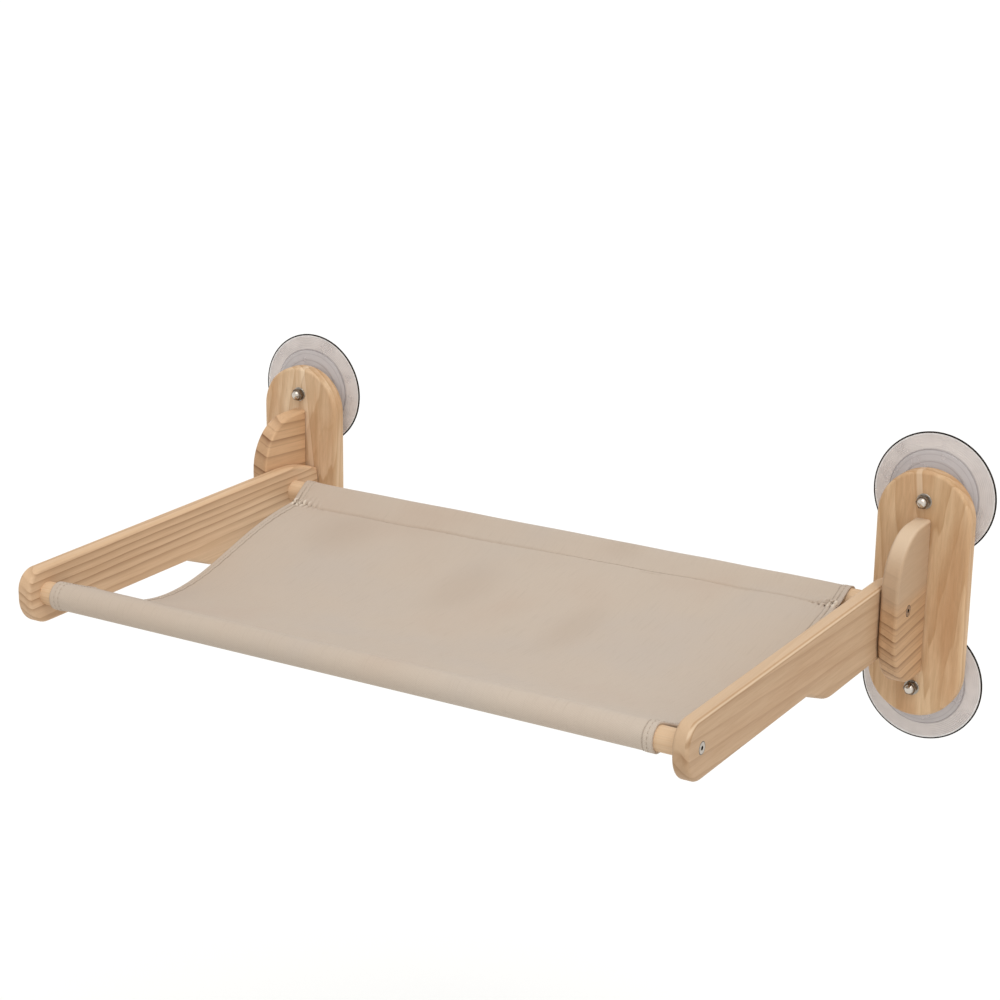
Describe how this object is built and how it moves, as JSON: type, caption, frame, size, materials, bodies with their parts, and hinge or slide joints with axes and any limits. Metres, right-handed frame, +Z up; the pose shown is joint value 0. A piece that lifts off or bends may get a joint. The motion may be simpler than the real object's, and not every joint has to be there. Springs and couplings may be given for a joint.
{
  "type": "window mounted cat perch",
  "caption": "Cat perch held on a window by suction cups: wooden plates with ribs, and a folding seat frame of arms and dowels that carries a canvas sling.",
  "frame": {"origin": "the centre of the four suction cups, on the window's glass", "axes": "+X along the window towards the perch's right-hand side as seen from the room, +Y through the glass away from the room, +Z up"},
  "size_m": [0.72, 0.423, 0.265],
  "materials": {
    "pine_plate": "sanded pine with a thin matt varnish",
    "pine_rib": "sanded pine with a thin matt varnish",
    "pine_arm": "sanded pine with a thin matt varnish",
    "beech_dowel": "sanded",
    "cup_rubber": "clear greyish soft PVC, smooth",
    "zinc_steel": "zinc plated",
    "nut_chrome": "polished nickel plate",
    "insert_brass": "turned",
    "washer_nylon": "dark nylon",
    "canvas": "plain woven cotton canvas"
  },
  "bodies": {
    "brackets": {"left_plate": "pine_plate", "right_plate": "pine_plate", "left_rib": "pine_rib", "right_rib": "pine_rib", "left_rib_screws": "zinc_steel", "right_rib_screws": "zinc_steel", "left_upper_cup": "cup_rubber", "left_lower_cup": "cup_rubber", "right_upper_cup": "cup_rubber", "right_lower_cup": "cup_rubber", "left_upper_stud": "zinc_steel", "left_lower_stud": "zinc_steel", "right_upper_stud": "zinc_steel", "right_lower_stud": "zinc_steel", "left_upper_washer": "zinc_steel", "left_lower_washer": "zinc_steel", "right_upper_washer": "zinc_steel", "right_lower_washer": "zinc_steel", "left_upper_nut": "nut_chrome", "left_lower_nut": "nut_chrome", "right_upper_nut": "nut_chrome", "right_lower_nut": "nut_chrome"},
    "seat_frame": {"left_arm": "pine_arm", "right_arm": "pine_arm", "front_dowel": "beech_dowel", "rear_dowel": "beech_dowel", "left_front_insert": "insert_brass", "right_front_insert": "insert_brass", "left_rear_insert": "insert_brass", "right_rear_insert": "insert_brass", "left_front_bolt": "zinc_steel", "right_front_bolt": "zinc_steel", "left_pivot_bolt": "zinc_steel", "right_pivot_bolt": "zinc_steel", "left_pivot_washer": "washer_nylon", "right_pivot_washer": "washer_nylon", "sling": "canvas"}
  },
  "joints": [
    {"name": "seat_fold", "type": "hinge", "parent": "brackets", "child": "seat_frame", "pos_m": [0, -0.063, 0], "axis": [-1, 0, 0], "range_deg": [0, 95]}
  ]
}
